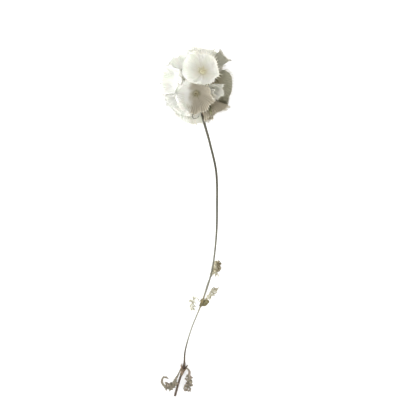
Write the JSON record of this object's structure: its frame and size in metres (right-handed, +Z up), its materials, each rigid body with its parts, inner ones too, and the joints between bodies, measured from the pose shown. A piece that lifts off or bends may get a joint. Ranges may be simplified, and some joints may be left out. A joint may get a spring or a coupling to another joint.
{
  "type": "dried scabiosa flower",
  "caption": "Dried scabiosa on its cut stem, lying down: a globe of fringed papery cups with bristle stars, cut leaves at the stem's nodes and a small young head on a side stalk.",
  "frame": {"origin": "on the table, under the middle of the flower's length and width as it lies", "axes": "+Z up from the table, +Y from the cut end of the stem to the globe, +X across the stem"},
  "size_m": [0.0391, 0.1925, 0.0397],
  "materials": {
    "papery_cups": "matte, fibrous and slightly translucent",
    "straw": "matte straw",
    "stem_bark": "dry ribbed stem with a dull sheen",
    "dry_leaf": "matte, shrivelled and veined",
    "young_cups": "matte, tightly packed"
  },
  "bodies": {
    "root": {"seed_head": "papery_cups", "involucre": "straw", "stem": "stem_bark", "leaf_upper_left": "dry_leaf", "leaf_upper_right": "dry_leaf", "leaf_lower_left": "dry_leaf", "leaf_lower_right": "dry_leaf", "young_head": "young_cups"}
  },
  "joints": []
}
